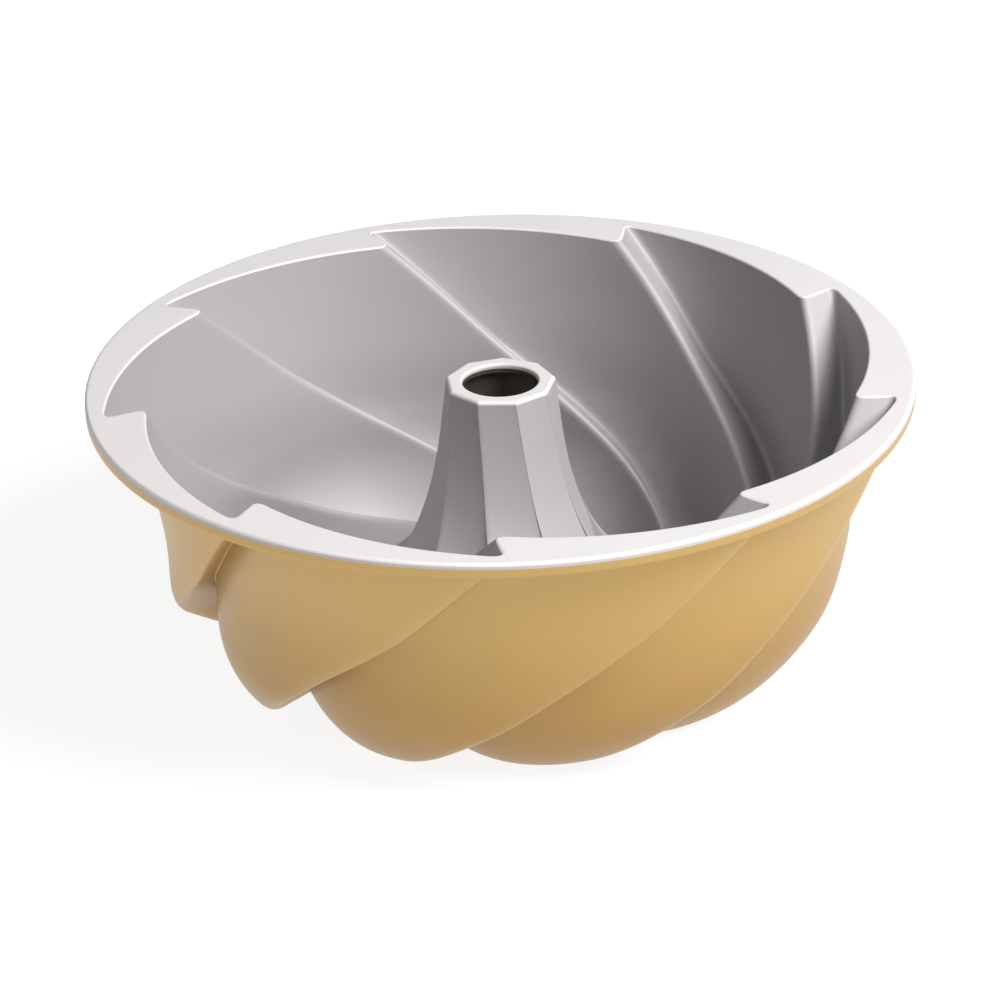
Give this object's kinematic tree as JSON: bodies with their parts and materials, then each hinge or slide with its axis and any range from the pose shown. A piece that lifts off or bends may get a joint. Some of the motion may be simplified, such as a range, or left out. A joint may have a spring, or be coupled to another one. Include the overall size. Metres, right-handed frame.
{
  "type": "bundt pan",
  "caption": "Round cast fluted cake pan with spiral flutes, a flat rim and a hollow centre tube; gold outside, silver non-stick inside.",
  "frame": {"origin": "on the pan's axis, at the level of the lands that it stands on", "axes": "+Z along the axis, up out of the open mouth; +X to the right and +Y away as the pan is seen from the front"},
  "size_m": [0.26, 0.26, 0.099],
  "materials": {
    "gold_finish": "satin metallic gold, baked on",
    "silver_lining": "satin silver-grey non-stick",
    "pale_rim": "satin pale silver non-stick on the flat rim"
  },
  "bodies": {
    "root": {"rim_flange": "gold_finish", "fluted_wall": "gold_finish", "fluted_base": "gold_finish", "centre_tube": "gold_finish", "rim_lining": "pale_rim", "wall_lining": "silver_lining", "base_lining": "silver_lining", "tube_lining": "silver_lining"}
  },
  "joints": []
}
